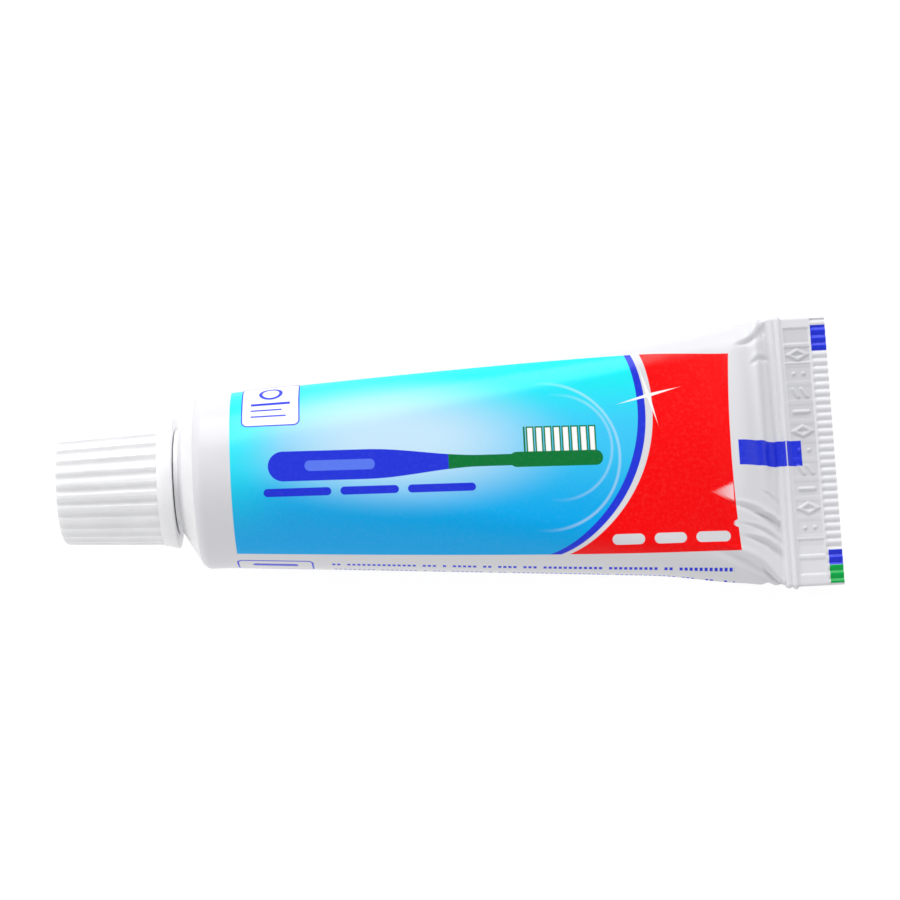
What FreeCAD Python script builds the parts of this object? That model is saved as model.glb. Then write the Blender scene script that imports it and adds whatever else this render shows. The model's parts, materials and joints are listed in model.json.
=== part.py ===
"""Travel-size laminate toothpaste tube with a fluted screw cap, lying on its lower face.

The tube is drawn about its own axis: X runs from the cap to the tail, Z is square to the flat of the tail,
and x = 0 is where the straight wall of the sleeve starts behind the rounded corner of the shoulder.
At the end every piece is tilted together, so that the flat lower face of the sleeve lies on z = 0.
"""

import FreeCAD, Part
import math
import os

import Sketcher

doc = FreeCAD.newDocument("toothpaste_tube")

# Driving dimensions, in millimetres and degrees
SIZES = {
    "tube_radius": 11.0,  # outside of the sleeve at the shoulder
    "wall": 0.3,  # laminate thickness
    "weld_length": 2.0,  # round stretch of the sleeve that is welded to the shoulder
    "wedge_length": 63.0,  # from the weld to the start of the pinch
    "wedge_end_side": 3.1,  # half thickness of the filled tube where the pinch starts
    "pinch_length": 5.6,  # from the wedge to the fold line
    "pinch_mid_side": 2.35,  # half thickness halfway down the pinch
    "fold_gap": 0.06,  # half of the crack between the walls at the fold line
    "corner_radius": 1.3,  # rounding of the sleeve over the shoulder
    "cone_angle": 30.0,  # how far the shoulder cone leans from square to the axis
    "seal_length": 7.6,  # flat sealed tail, from the fold line to the cut end
    "bead_offset": 1.6,  # from the fold line to the bead across the tail
    "bead_radius": 0.5,
    "type_width": 2.05,  # one type recess, across the tail
    "type_length": 3.5,  # one type recess, along the tube
    "type_pitch": 2.45,
    "type_count": 13,
    "type_depth": 0.12,
    "type_offset": 0.5,  # from the middle of the bead to the recesses
    "rib_length": 1.9,  # serrated strip at the cut end
    "rib_pitch": 1.0,
    "rib_count": 33,
    "rib_groove_width": 0.7,
    "rib_groove_depth": 0.2,
    "shoulder_wall": 1.0,
    "collar_radius": 6.5,
    "collar_length": 0.5,
    "neck_radius": 4.7,  # root of the thread
    "lip_chamfer": 0.4,
    "orifice_radius": 2.6,
    "cap_gap": 0.15,  # between the collar and the mouth of the cap
    "cap_length": 14.35,
    "cap_end_wall": 2.2,
    "cap_end_radius": 7.1,
    "cap_end_rounding": 0.6,
    "cap_body_radius": 7.7,  # at the end of the flutes
    "bore_radius": 5.6,
    "bore_chamfer": 0.4,
    "flange_radius": 8.25,
    "flange_width": 1.8,
    "flange_chamfer": 0.2,
    "flange_step": 0.15,  # how far the flange stands proud of the flutes
    "flute_count": 28,
    "flute_radius": 0.62,
    "flute_depth": 0.42,
    "liner_thickness": 1.2,
    "liner_clearance": 0.25,
    "paste_clearance": 0.05,
    "paste_recess": 0.6,  # how far the paste lies below the lip
    "paste_end_gap": 0.8,  # from the end of the paste to the fold line
    "paste_end_side": 0.8,  # half thickness of the sleeve's outside where the paste ends
}

sheet = doc.addObject("Spreadsheet::Sheet", "Sizes")
for row, (alias, value) in enumerate(SIZES.items(), start=1):
    sheet.set(f"A{row}", alias)
    sheet.set(f"B{row}", str(value))
    sheet.setAlias(f"B{row}", alias)
doc.recompute()

SIDE_STEPS = 28  # flat strips round each side of the drawn sleeve
CURL_STEPS = 3  # cone rings round the sleeve's rounding over the shoulder
CAP_END_STEPS = 2  # cone rings round the rounding of the cap's closed end

# Lengths that follow from the driving dimensions, as expressions of the sheet's cells
RADIUS = "Sizes.tube_radius"
WALL = "Sizes.wall"
CONE = "(Sizes.cone_angle * 1 deg)"
WEDGE_START = "Sizes.weld_length"
WEDGE_END = f"({WEDGE_START} + Sizes.wedge_length)"
FOLD = f"({WEDGE_END} + Sizes.pinch_length)"
PINCH_MID = f"({WEDGE_END} + Sizes.pinch_length / 2)"
TAIL_END = f"({FOLD} + Sizes.seal_length)"
BEAD = f"({FOLD} + Sizes.bead_offset)"
FOLD_SIDE = f"({WALL} + Sizes.fold_gap)"
FLAT_WIDTH = f"(pi * ({RADIUS} - {WALL} / 2) + {WALL})"
RIM_X = f"(-Sizes.corner_radius * cos({CONE}))"
RIM_RADIUS = f"({RADIUS} - Sizes.corner_radius * (1 - sin({CONE})))"
SEAT_X = f"({RIM_X} + {WALL} * cos({CONE}))"
SEAT_RADIUS = f"({RIM_RADIUS} - {WALL} * sin({CONE}))"
SKIRT_RADIUS = f"({RADIUS} - {WALL} - Sizes.shoulder_wall)"
CONE_TOP = f"({RIM_X} - ({RIM_RADIUS} - Sizes.collar_radius) * tan({CONE}))"
COLLAR_END = f"({CONE_TOP} - Sizes.collar_length)"
CAP_MOUTH = f"({COLLAR_END} - Sizes.cap_gap)"
CAP_END = f"({CAP_MOUTH} - Sizes.cap_length)"
FLUTE_START = f"({CAP_MOUTH} - Sizes.flange_width)"
CAP_CEILING = f"({CAP_END} + Sizes.cap_end_wall)"
NECK_END = f"({CAP_CEILING} + Sizes.liner_thickness)"


def inner_cone(radius, depth):
    """Where a cone that lies depth under the outside of the shoulder cone has a given radius."""
    return f"({RIM_X} + {depth} / cos({CONE}) - ({RIM_RADIUS} - {radius}) * tan({CONE}))"


def measure(expression):
    """Value of an expression of the sheet's cells, in millimetres or degrees."""
    value = sheet.evalExpression(expression)
    return float(getattr(value, "Value", value))


def new_body(name):
    """An empty body, labelled with the piece's name."""
    body = doc.addObject("PartDesign::Body", name)
    body.Label = name
    return body


def sketch_on(body, role, name, offset="0"):
    """A sketch on one of the body's origin planes, moved along its normal."""
    sketch = body.newObject("Sketcher::SketchObject", name)
    plane = next(item for item in body.Origin.OriginFeatures if item.Role == role)
    sketch.AttachmentSupport = [(plane, "")]
    sketch.MapMode = "FlatFace"
    sketch.setExpression("AttachmentOffset.Base.z", offset)
    return sketch


def size(sketch, name, expression, kind, *places):
    """A named dimension of a sketch, bound to the sheet."""
    index = sketch.addConstraint(Sketcher.Constraint(kind, *places, measure(expression)))
    sketch.renameConstraint(index, name)
    sketch.setExpression(f"Constraints.{name}", expression)


def pin(sketch, name, edge, end, across, up):
    """Ties the end of an edge to the sketch's axes by two bound distances."""
    for kind, expression, axis in (("DistanceX", across, -2), ("DistanceY", up, -1)):
        value = measure(expression)
        if abs(value) < 1e-9:
            sketch.addConstraint(Sketcher.Constraint("PointOnObject", edge, end, axis))
        elif value > 0:
            size(sketch, f"{name}_{kind}", expression, kind, -1, 1, edge, end)
        else:
            size(sketch, f"{name}_{kind}", f"-({expression})", kind, edge, end, -1, 1)


def draw_polygon(sketch, corners):
    """A closed outline of straight edges through corners given as pairs of expressions: across and up."""
    points = [FreeCAD.Vector(measure(across), measure(up), 0) for across, up in corners]
    first = sketch.GeometryCount
    for start, end in zip(points, points[1:] + points[:1]):
        sketch.addGeometry(Part.LineSegment(start, end), False)
    for index, (across, up) in enumerate(corners):
        before = first + (index - 1) % len(corners)
        sketch.addConstraint(Sketcher.Constraint("Coincident", before, 2, first + index, 1))
        pin(sketch, f"corner{first + index}", first + index, 1, across, up)


def rounding(centre_x, centre_r, radius, start, end, steps):
    """Corners of a rounding in a turned profile: equal steps from one angle to another, counter-clockwise from +X."""
    angles = [f"({start} + ({end} - {start}) * {step} / {steps})" for step in range(steps + 1)]
    return [(f"({centre_x} + {radius} * cos({a}))", f"({centre_r} + {radius} * sin({a}))") for a in angles]


def draw_circle(sketch, name, across, up, radius):
    """A circle whose centre and radius are expressions."""
    centre = FreeCAD.Vector(measure(across), measure(up), 0)
    index = sketch.addGeometry(Part.Circle(centre, FreeCAD.Vector(0, 0, 1), measure(radius)), False)
    size(sketch, f"{name}_radius", radius, "Radius", index)
    pin(sketch, name, index, 3, across, up)


def ring(place, side, inset):
    """Corners of one cross-section of the drawn sleeve, which keeps the girth of its round end.

    side is the half thickness of the sleeve's outside at that place, and inset is how far inside it the ring lies.
    """
    flat = measure(f"(pi / 2 * ({RADIUS} - {side}))")
    reach = measure(f"({side} - {inset})")
    corners = []
    for centre, first in ((flat, -90), (-flat, 90)):
        for step in range(SIDE_STEPS + 1):
            angle = math.radians(first + 180 * step / SIDE_STEPS)
            across = centre + reach * math.cos(angle)
            corners.append(FreeCAD.Vector(measure(place), across, reach * math.sin(angle)))
    return corners


def flat_face(corners):
    """A plane face through corners, where neighbours may fall together."""
    kept = [c for c, before in zip(corners, corners[-1:] + corners[:-1]) if (c - before).Length > 1e-6]
    return Part.Face(Part.makePolygon(kept + kept[:1]))


def drawn_form(rings):
    """A solid through rings of corners: a sheet drawn from one ring to the next lies in flat strips."""
    faces = [flat_face(rings[0]), flat_face(rings[-1])]
    for near, far in zip(rings, rings[1:]):
        for index in range(len(near)):
            faces.append(flat_face([near[index - 1], near[index], far[index], far[index - 1]]))
    return Part.Solid(Part.Shell(faces))


def filled_form(inset, end, end_side):
    """The filled tube: a wedge of straight rulings from the round end, then the pinch towards the fold line."""
    return drawn_form(
        [
            ring(WEDGE_START, RADIUS, inset),
            ring(WEDGE_END, "Sizes.wedge_end_side", inset),
            ring(PINCH_MID, "Sizes.pinch_mid_side", inset),
            ring(end, end_side, inset),
        ]
    )


def start_from(body, name, shape):
    """Makes a shape the first feature of a body."""
    form = doc.addObject("Part::Feature", name)
    form.Shape = shape
    body.BaseFeature = form


def revolve(body, name, sketch):
    """A full turn of a sketch about the tube's axis."""
    feature = body.newObject("PartDesign::Revolution", name)
    feature.Profile = (sketch, [])
    feature.ReferenceAxis = (sketch, ["H_Axis"])
    feature.Angle = 360
    return feature


def groove(body, name, sketch):
    """A cut with a full turn of a sketch about its own first edge."""
    edge = sketch.Geometry[0]
    axis = sketch.addGeometry(Part.LineSegment(edge.StartPoint, edge.EndPoint), True)
    sketch.addConstraint(Sketcher.Constraint("Coincident", axis, 1, 0, 1))
    sketch.addConstraint(Sketcher.Constraint("Coincident", axis, 2, 0, 2))
    feature = body.newObject("PartDesign::Groove", name)
    feature.Profile = (sketch, [])
    feature.ReferenceAxis = (sketch, ["Axis0"])
    feature.Angle = 360
    return feature


def extrude(body, kind, name, sketch, length, both_ways=False):
    """A straight pad or pocket of a sketch."""
    feature = body.newObject(f"PartDesign::{kind}", name)
    feature.Profile = (sketch, [])
    feature.Midplane = both_ways
    feature.setExpression("Length", length)
    return feature


def repeat_across(body, name, feature, count, pitch):
    """A row of one feature across the tail."""
    pattern = body.newObject("PartDesign::LinearPattern", name)
    pattern.Originals = [feature]
    pattern.Direction = (next(item for item in body.Origin.OriginFeatures if item.Role == "Y_Axis"), [""])
    pattern.setExpression("Occurrences", count)
    pattern.setExpression("Length", f"({count} - 1) * {pitch}")
    body.Tip = pattern
    return pattern


def repeat_around(body, name, feature, count):
    """A ring of one feature about the tube's axis."""
    pattern = body.newObject("PartDesign::PolarPattern", name)
    pattern.Originals = [feature]
    pattern.Axis = (next(item for item in body.Origin.OriginFeatures if item.Role == "X_Axis"), [""])
    pattern.Angle = 360
    pattern.setExpression("Occurrences", count)
    body.Tip = pattern
    return pattern


def build_sleeve():
    """The laminate sleeve: rounded over the shoulder, wedge-shaped, pinched and sealed flat at the tail."""
    body = new_body("sleeve")
    outside = filled_form("0", FOLD, FOLD_SIDE)
    inside = filled_form(WALL, FOLD, FOLD_SIDE)
    start_from(body, "drawn_sleeve", outside.cut(inside))
    add_round_end(body)
    add_seal(body)
    add_type_recesses(body)
    add_ribs(body)
    return body


def corner(bend):
    """Corners of the sleeve's rounding over the shoulder, from the straight wall to the cone."""
    return rounding("0", f"({RADIUS} - Sizes.corner_radius)", bend, "90 deg", f"(180 deg - {CONE})", CURL_STEPS)


def add_round_end(body):
    """The round stretch welded to the shoulder, and the laminate curled from it on to the shoulder cone."""
    profile = sketch_on(body, "XZ_Plane", "round_profile")
    outside = corner("Sizes.corner_radius")
    inside = corner(f"(Sizes.corner_radius - {WALL})")
    weld = [(WEDGE_START, f"({RADIUS} - {WALL})"), (WEDGE_START, RADIUS)]
    draw_polygon(profile, outside + inside[::-1] + weld)
    revolve(body, "round_end", profile)


def add_seal(body):
    """The flat sealed tail, with a round bead pressed across it."""
    outline = sketch_on(body, "XY_Plane", "seal_outline")
    half = f"({FLAT_WIDTH} / 2)"
    draw_polygon(outline, [(FOLD, f"-{half}"), (TAIL_END, f"-{half}"), (TAIL_END, half), (FOLD, half)])
    extrude(body, "Pad", "seal", outline, f"2 * {WALL}", both_ways=True)
    bead_circle = sketch_on(body, "XZ_Plane", "bead_circle")
    draw_circle(bead_circle, "bead", BEAD, "0", "Sizes.bead_radius")
    extrude(body, "Pad", "bead", bead_circle, FLAT_WIDTH, both_ways=True)


def add_type_recesses(body):
    """A row of shallow recesses, left by the blank type of the crimping jaws."""
    outline = sketch_on(body, "XY_Plane", "type_outline", WALL)
    near = f"({BEAD} + Sizes.type_offset)"
    far = f"({near} + Sizes.type_length)"
    low = "(-(Sizes.type_count - 1) / 2 * Sizes.type_pitch - Sizes.type_width / 2)"
    high = f"({low} + Sizes.type_width)"
    draw_polygon(outline, [(near, low), (far, low), (far, high), (near, high)])
    recess = extrude(body, "Pocket", "type_recess", outline, "Sizes.type_depth")
    repeat_across(body, "type_row", recess, "Sizes.type_count", "Sizes.type_pitch")


def add_ribs(body):
    """The serrated strip at the cut end: grooves along the tube, staggered on the two faces."""
    outline = sketch_on(body, "YZ_Plane", "rib_outline", TAIL_END)
    start = "(-(Sizes.rib_count - 1) / 2 * Sizes.rib_pitch)"
    for side, middle in (("", f"({start} - Sizes.rib_pitch / 4)"), ("-", f"({start} + Sizes.rib_pitch / 4)")):
        mouth = f"({side}({WALL} + Sizes.rib_groove_depth))"
        root = f"({side}({WALL} - Sizes.rib_groove_depth))"
        draw_polygon(
            outline,
            [
                (f"({middle} - Sizes.rib_groove_width)", mouth),
                (middle, root),
                (f"({middle} + Sizes.rib_groove_width)", mouth),
            ],
        )
    grooves = extrude(body, "Pocket", "rib_grooves", outline, "Sizes.rib_length")
    repeat_across(body, "rib_row", grooves, "Sizes.rib_count", "Sizes.rib_pitch")


def build_shoulder():
    """The moulded shoulder: skirt inside the sleeve, cone, collar, and neck with the orifice through it."""
    body = new_body("shoulder")
    profile = sketch_on(body, "XZ_Plane", "shoulder_profile")
    neck = [
        (NECK_END, "Sizes.orifice_radius"),
        (NECK_END, "(Sizes.neck_radius - Sizes.lip_chamfer)"),
        (f"({NECK_END} + Sizes.lip_chamfer)", "Sizes.neck_radius"),
        (COLLAR_END, "Sizes.neck_radius"),
        (COLLAR_END, "Sizes.collar_radius"),
        (CONE_TOP, "Sizes.collar_radius"),
        (RIM_X, RIM_RADIUS),
    ]
    seat = corner(f"(Sizes.corner_radius - {WALL})")[::-1]
    skirt = [
        (WEDGE_START, f"({RADIUS} - {WALL})"),
        (WEDGE_START, SKIRT_RADIUS),
        (inner_cone(SKIRT_RADIUS, "Sizes.shoulder_wall"), SKIRT_RADIUS),
        (inner_cone("Sizes.orifice_radius", "Sizes.shoulder_wall"), "Sizes.orifice_radius"),
    ]
    draw_polygon(profile, neck + seat + skirt)
    revolve(body, "shoulder_turned", profile)
    return body


def build_cap():
    """The screw cap: a tapered, fluted cup with a plain flange round its mouth."""
    body = new_body("cap")
    profile = sketch_on(body, "XZ_Plane", "cap_profile")
    end_rounding = rounding(
        f"({CAP_END} + Sizes.cap_end_rounding)",
        "(Sizes.cap_end_radius - Sizes.cap_end_rounding)",
        "Sizes.cap_end_rounding",
        "180 deg",
        "90 deg",
        CAP_END_STEPS,
    )
    outside = [
        (FLUTE_START, "Sizes.cap_body_radius"),
        (FLUTE_START, "(Sizes.cap_body_radius + Sizes.flange_step)"),
        (f"({CAP_MOUTH} - Sizes.flange_chamfer)", "Sizes.flange_radius"),
        (CAP_MOUTH, "(Sizes.flange_radius - Sizes.flange_chamfer)"),
    ]
    bore = [
        (CAP_MOUTH, "(Sizes.bore_radius + Sizes.bore_chamfer)"),
        (f"({CAP_MOUTH} - Sizes.bore_chamfer)", "Sizes.bore_radius"),
        (CAP_CEILING, "Sizes.bore_radius"),
        (CAP_CEILING, "0"),
    ]
    draw_polygon(profile, [(CAP_END, "0")] + end_rounding + outside + bore)
    revolve(body, "cap_turned", profile)
    add_flutes(body)
    return body


def add_flutes(body):
    """Round flutes along the tapered side, each cut about an axis that leans with the taper."""
    section = sketch_on(body, "XZ_Plane", "flute_section")
    lift = "(Sizes.flute_radius - Sizes.flute_depth)"
    lean = f"atan((Sizes.cap_body_radius - Sizes.cap_end_radius) / ({FLUTE_START} - {CAP_END}))"
    across = f"(Sizes.flute_radius * sin({lean}))"
    up = f"(Sizes.flute_radius * cos({lean}))"
    near_x = FLUTE_START
    near_r = f"(Sizes.cap_body_radius + {lift})"
    far_x = f"({CAP_END} - Sizes.flute_radius)"
    far_r = f"(Sizes.cap_end_radius + {lift} - Sizes.flute_radius * tan({lean}))"
    draw_polygon(
        section,
        [
            (far_x, far_r),
            (near_x, near_r),
            (f"({near_x} - {across})", f"({near_r} + {up})"),
            (f"({far_x} - {across})", f"({far_r} + {up})"),
        ],
    )
    flute = groove(body, "flute", section)
    repeat_around(body, "flutes", flute, "Sizes.flute_count")


def build_cap_liner():
    """The sealing wad between the lip of the neck and the ceiling of the cap."""
    body = new_body("cap_liner")
    outline = sketch_on(body, "YZ_Plane", "liner_outline", CAP_CEILING)
    draw_circle(outline, "liner", "0", "0", "(Sizes.bore_radius - Sizes.liner_clearance)")
    extrude(body, "Pad", "liner", outline, "Sizes.liner_thickness")
    return body


def build_toothpaste():
    """The fill: the hollow of the sleeve and the shoulder, up to just below the lip."""
    body = new_body("toothpaste")
    gap = "Sizes.paste_clearance"
    bore = f"(Sizes.orifice_radius - {gap})"
    skirt = f"({SKIRT_RADIUS} - {gap})"
    shell = f"(Sizes.shoulder_wall + {gap})"
    end = f"({FOLD} - Sizes.paste_end_gap)"
    start_from(body, "drawn_paste", filled_form(f"({WALL} + {gap})", end, "Sizes.paste_end_side"))
    profile = sketch_on(body, "XZ_Plane", "front_profile")
    draw_polygon(
        profile,
        [
            (f"({NECK_END} + Sizes.paste_recess)", "0"),
            (f"({NECK_END} + Sizes.paste_recess)", bore),
            (inner_cone(bore, shell), bore),
            (inner_cone(skirt, shell), skirt),
            (WEDGE_START, skirt),
            (WEDGE_START, "0"),
        ],
    )
    revolve(body, "paste_front", profile)
    return body


def tilt_on_to_table(pieces):
    """Lays the tube on its flat lower face, with the origin under the middle of its outline."""
    drop = measure(RADIUS)
    run = measure(f"{WEDGE_END} - {WEDGE_START}")
    lean = math.atan((drop - measure("Sizes.wedge_end_side")) / run)
    turn = FreeCAD.Rotation(FreeCAD.Vector(0, 1, 0), math.degrees(lean))
    for piece in pieces:
        piece.Placement = FreeCAD.Placement(FreeCAD.Vector(0, 0, 0), turn)
    doc.recompute()
    outlines = [piece.Shape.optimalBoundingBox() for piece in pieces]
    middle = (min(box.XMin for box in outlines) + max(box.XMax for box in outlines)) / 2
    lift = measure(WEDGE_START) * math.sin(lean) + drop * math.cos(lean)
    for piece in pieces:
        piece.Placement = FreeCAD.Placement(FreeCAD.Vector(-middle, 0, lift), turn)
    doc.recompute()
    print(f"tilt {math.degrees(lean):.4f} degrees, shoulder corner at x {-middle:.4f}, z {lift:.4f} mm")


def check(pieces):
    """Stops if any object failed to build or any piece is not one valid solid."""
    for thing in doc.Objects:
        if "Invalid" in thing.State or "Error" in thing.State:
            raise RuntimeError(f"{thing.Name} failed: {thing.State}")
    for piece in pieces:
        shape = piece.Shape
        if shape.isNull() or not shape.isValid() or len(shape.Solids) != 1:
            raise RuntimeError(f"{piece.Label} is not one valid solid")
        print(f"{piece.Label}: {shape.Volume:.1f} cubic mm, {len(shape.Faces)} faces")


pieces = [build_sleeve(), build_shoulder(), build_cap(), build_cap_liner(), build_toothpaste()]
doc.recompute()
tilt_on_to_table(pieces)
check(pieces)
os.makedirs("parts", exist_ok=True)
for piece in pieces:
    piece.Shape.exportStep(f"parts/{piece.Label}.step")
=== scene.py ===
"""Looks of a travel-size toothpaste tube: printed sleeve, fluted screw cap, threaded neck and paste."""

import json
import logging
import math
from dataclasses import dataclass, field
from enum import Enum
from typing import Sequence

import bmesh
import bpy
from mathutils import Matrix, Vector


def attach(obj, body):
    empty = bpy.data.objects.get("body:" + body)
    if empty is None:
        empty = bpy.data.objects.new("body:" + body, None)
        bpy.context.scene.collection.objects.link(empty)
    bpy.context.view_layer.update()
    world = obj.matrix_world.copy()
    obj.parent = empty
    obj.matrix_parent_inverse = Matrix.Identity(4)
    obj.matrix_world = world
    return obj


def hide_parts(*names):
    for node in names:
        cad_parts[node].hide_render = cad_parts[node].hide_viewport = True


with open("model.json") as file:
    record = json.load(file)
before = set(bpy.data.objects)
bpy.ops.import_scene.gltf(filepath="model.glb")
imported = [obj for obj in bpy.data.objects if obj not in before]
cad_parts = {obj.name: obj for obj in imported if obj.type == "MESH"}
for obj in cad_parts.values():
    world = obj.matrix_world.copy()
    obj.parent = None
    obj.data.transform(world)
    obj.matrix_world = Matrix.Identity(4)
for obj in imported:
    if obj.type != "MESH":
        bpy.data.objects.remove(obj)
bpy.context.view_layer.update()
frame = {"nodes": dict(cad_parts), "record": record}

MM = 0.001
UV_SPAN = 100.0  # millimetres of sleeve across the whole of its UV map
MIX_FACTOR, MIX_UNDER, MIX_OVER, MIX_RESULT = 0, 6, 7, 2  # the colour sockets of a Mix node
WELD_DISTANCE = 0.0005  # millimetres within which doubles are merged

log = logging.getLogger("toothpaste_tube")


class Body(Enum):
    """The CAD bodies that pieces ride on."""

    TUBE = "tube"
    LINER = "liner"
    CAP = "cap"


class Slot(Enum):
    """The record's material slots."""

    LAMINATE = "laminate"
    SHOULDER = "shoulder_plastic"
    CAP = "cap_plastic"
    LINER = "liner_foam"
    PASTE = "paste"


def linear(shade: str) -> tuple[float, float, float, float]:
    """Turns an sRGB hex shade into a linear colour.

    Args:
        shade: Six hex digits after a hash sign.

    Returns:
        Red, green, blue and an alpha of one.
    """
    parts = [int(shade[at : at + 2], 16) / 255 for at in (1, 3, 5)]
    red, green, blue = (
        part / 12.92 if part <= 0.04045 else ((part + 0.055) / 1.055) ** 2.4 for part in parts
    )
    return red, green, blue, 1.0


def smooth(value: float, low: float, high: float) -> float:
    """Eases from 0 at low to 1 at high.

    Args:
        value: The place to read.
        low: Where the ease starts.
        high: Where it ends.

    Returns:
        A number from 0 to 1.
    """
    share = min(max((value - low) / (high - low), 0.0), 1.0)
    return share * share * (3 - 2 * share)


def fill(tree: bpy.types.NodeTree, node: bpy.types.Node, inputs: dict) -> None:
    """Sets a node's own sockets, and links those that another socket feeds.

    Args:
        tree: The node tree.
        node: The node to fill.
        inputs: Values, or sockets to link from, by the input's name or number.
    """
    for key, value in inputs.items():
        if isinstance(value, bpy.types.NodeSocket):
            tree.links.new(value, node.inputs[key])
        else:
            node.inputs[key].default_value = value


def add_node(
    tree: bpy.types.NodeTree, kind: str, inputs: dict | None = None, **settings: object
) -> bpy.types.Node:
    """Adds a node with its settings and links.

    Args:
        tree: The node tree.
        kind: The node's type name.
        inputs: Values, or sockets to link from, by the input's name or number.
        settings: Properties of the node.

    Returns:
        The new node.
    """
    node = tree.nodes.new(kind)
    for name, value in settings.items():
        setattr(node, name, value)
    fill(tree, node, inputs or {})
    return node


@dataclass(frozen=True)
class Field:
    """A number that varies over a surface, built from math nodes."""

    tree: bpy.types.NodeTree
    socket: bpy.types.NodeSocket

    def join(self, operation: str, *others: "Field | float") -> "Field":
        """Joins this field with others.

        Args:
            operation: The math node's operation.
            others: Fields or plain numbers.

        Returns:
            The result as a field.
        """
        sources = (other.socket if isinstance(other, Field) else float(other) for other in others)
        values = [self.socket, *sources]
        node = add_node(self.tree, "ShaderNodeMath", dict(enumerate(values)), operation=operation)
        return Field(self.tree, node.outputs[0])

    def __add__(self, other: "Field | float") -> "Field":
        """Adds."""
        return self.join("ADD", other)

    def __sub__(self, other: "Field | float") -> "Field":
        """Subtracts."""
        return self.join("SUBTRACT", other)

    def __mul__(self, other: "Field | float") -> "Field":
        """Multiplies."""
        return self.join("MULTIPLY", other)

    def __truediv__(self, other: "Field | float") -> "Field":
        """Divides."""
        return self.join("DIVIDE", other)

    def size(self) -> "Field":
        """Drops the sign."""
        return self.join("ABSOLUTE")

    def most(self, other: "Field | float") -> "Field":
        """Takes the larger."""
        return self.join("MAXIMUM", other)

    def least(self, other: "Field | float") -> "Field":
        """Takes the smaller."""
        return self.join("MINIMUM", other)

    def ease(self, low: float, high: float) -> "Field":
        """Eases from 0 where the field is low to 1 where it is high.

        Args:
            low: The value that gives 0.
            high: The value that gives 1.

        Returns:
            A field from 0 to 1.
        """
        node = add_node(
            self.tree,
            "ShaderNodeMapRange",
            {"Value": self.socket, "From Min": low, "From Max": high},
            interpolation_type="SMOOTHSTEP",
        )
        return Field(self.tree, node.outputs[0])


def lay(tree: bpy.types.NodeTree, under: object, mask: Field, shade: object) -> bpy.types.NodeSocket:
    """Lays one colour over another.

    Args:
        tree: The material's tree.
        under: The colour so far, as numbers or a socket.
        mask: Where the new colour lies.
        shade: The new colour, as numbers or a socket.

    Returns:
        The joined colour.
    """
    inputs = {MIX_FACTOR: mask.socket, MIX_UNDER: under, MIX_OVER: shade}
    return add_node(tree, "ShaderNodeMix", inputs, data_type="RGBA", clamp_factor=True).outputs[MIX_RESULT]


@dataclass(frozen=True)
class TubeFrame:
    """Where the tube's own axis lies in the object's frame: x to the tail, z square to the tail's flat."""

    corner: Vector
    tail: Vector

    @classmethod
    def of_cap_turn(cls) -> "TubeFrame":
        """Reads the tube's axis from the joint that the cap turns about."""
        turn = next(joint for joint in frame["record"]["behaviour"]["joints"] if joint["name"] == "cap_turn")
        return cls(Vector(turn["pos_m"]), -Vector(turn["axis"]).normalized())

    def matrix(self) -> Matrix:
        """Gives the change from millimetres about the tube's axis to metres in the object's frame.

        Returns:
            The change.
        """
        across = Vector((0, 1, 0))
        up = self.tail.cross(across)
        turn = Matrix((self.tail, across, up)).transposed().to_4x4()
        return Matrix.Translation(self.corner) @ turn @ Matrix.Scale(MM, 4)


def finish_piece(
    mesh: bmesh.types.BMesh, name: str, place: Matrix, material: bpy.types.Material
) -> bpy.types.Object:
    """Turns a bmesh into a smooth-shaded object at the origin.

    Args:
        mesh: The shape, about the tube's own axis. It is freed.
        name: The piece's name.
        place: The change to the object's frame.
        material: Its finish.

    Returns:
        The new object.
    """
    bmesh.ops.transform(mesh, matrix=place, verts=mesh.verts[:])
    for face in mesh.faces:
        face.smooth = True
    data = bpy.data.meshes.new(name)
    mesh.to_mesh(data)
    mesh.free()
    data.materials.append(material)
    piece = bpy.data.objects.new(name, data)
    bpy.context.scene.collection.objects.link(piece)
    log.info("%s: %d faces", name, len(data.polygons))
    return piece


def sharpen(mesh: bmesh.types.BMesh, degrees: float) -> None:
    """Marks edges whose faces meet more sharply than an angle.

    Args:
        mesh: The mesh to mark.
        degrees: The angle.
    """
    for edge in mesh.edges:
        if len(edge.link_faces) == 2 and edge.calc_face_angle() > math.radians(degrees):
            edge.smooth = False


def new_material(name: str) -> tuple[bpy.types.Material, bpy.types.NodeTree, bpy.types.Node]:
    """Makes a material with its shader.

    Args:
        name: The real material's name.

    Returns:
        The material, its tree and its shader node.
    """
    material = bpy.data.materials.new(name)
    material.use_nodes = True
    return material, material.node_tree, material.node_tree.nodes["Principled BSDF"]


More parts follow.
